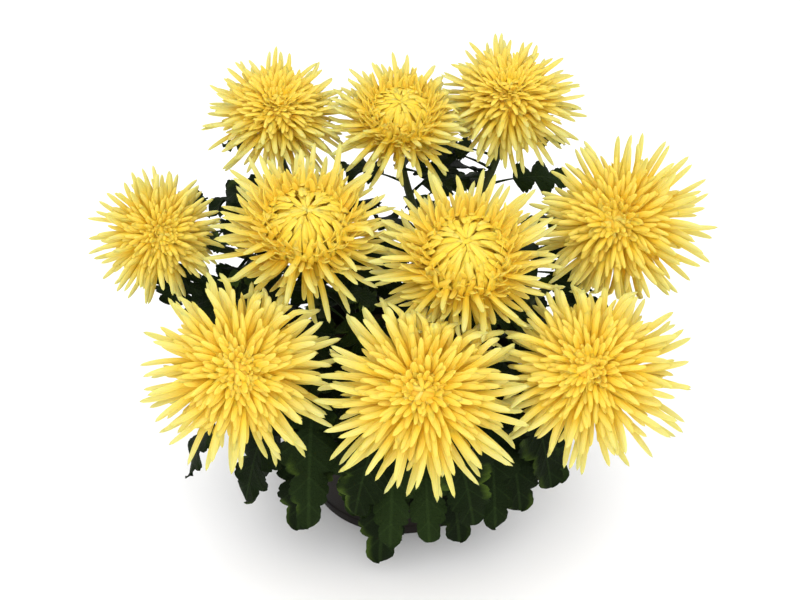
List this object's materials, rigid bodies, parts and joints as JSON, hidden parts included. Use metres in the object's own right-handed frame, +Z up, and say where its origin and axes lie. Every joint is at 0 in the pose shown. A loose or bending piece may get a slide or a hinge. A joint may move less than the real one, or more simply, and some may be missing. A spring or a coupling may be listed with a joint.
{
  "type": "pot chrysanthemum",
  "caption": "Flowering chrysanthemum in a plain dark pot: large yellow spider-form heads over lobed dark green leaves, standing on its flat base.",
  "frame": {"origin": "middle of the pot's underside, on the surface it stands on", "axes": "+Z up; -Y to the front, where the lowest heads lean out; +X to the right seen from the front"},
  "size_m": [0.4206, 0.3514, 0.3112],
  "materials": {
    "petals": "soft matte petals, golden at the heart and pale lemon to greenish at the tips",
    "foliage": "dark green leaves with a low sheen, paler on the lobe tips, and ribbed green stems",
    "soil": "crumbly dark peat",
    "pot": "thin moulded nursery plastic, satin"
  },
  "bodies": {
    "root": {"bloom_back_left": "petals", "bloom_back_middle": "petals", "bloom_back_right": "petals", "bloom_left": "petals", "bloom_middle_left": "petals", "bloom_middle_right": "petals", "bloom_right": "petals", "bloom_front_left": "petals", "bloom_front_middle": "petals", "bloom_front_right": "petals", "plant_front_left": "foliage", "plant_front_middle": "foliage", "plant_front_right": "foliage", "plant_back_left": "foliage", "plant_back_right": "foliage", "soil": "soil", "pot": "pot"}
  },
  "joints": []
}
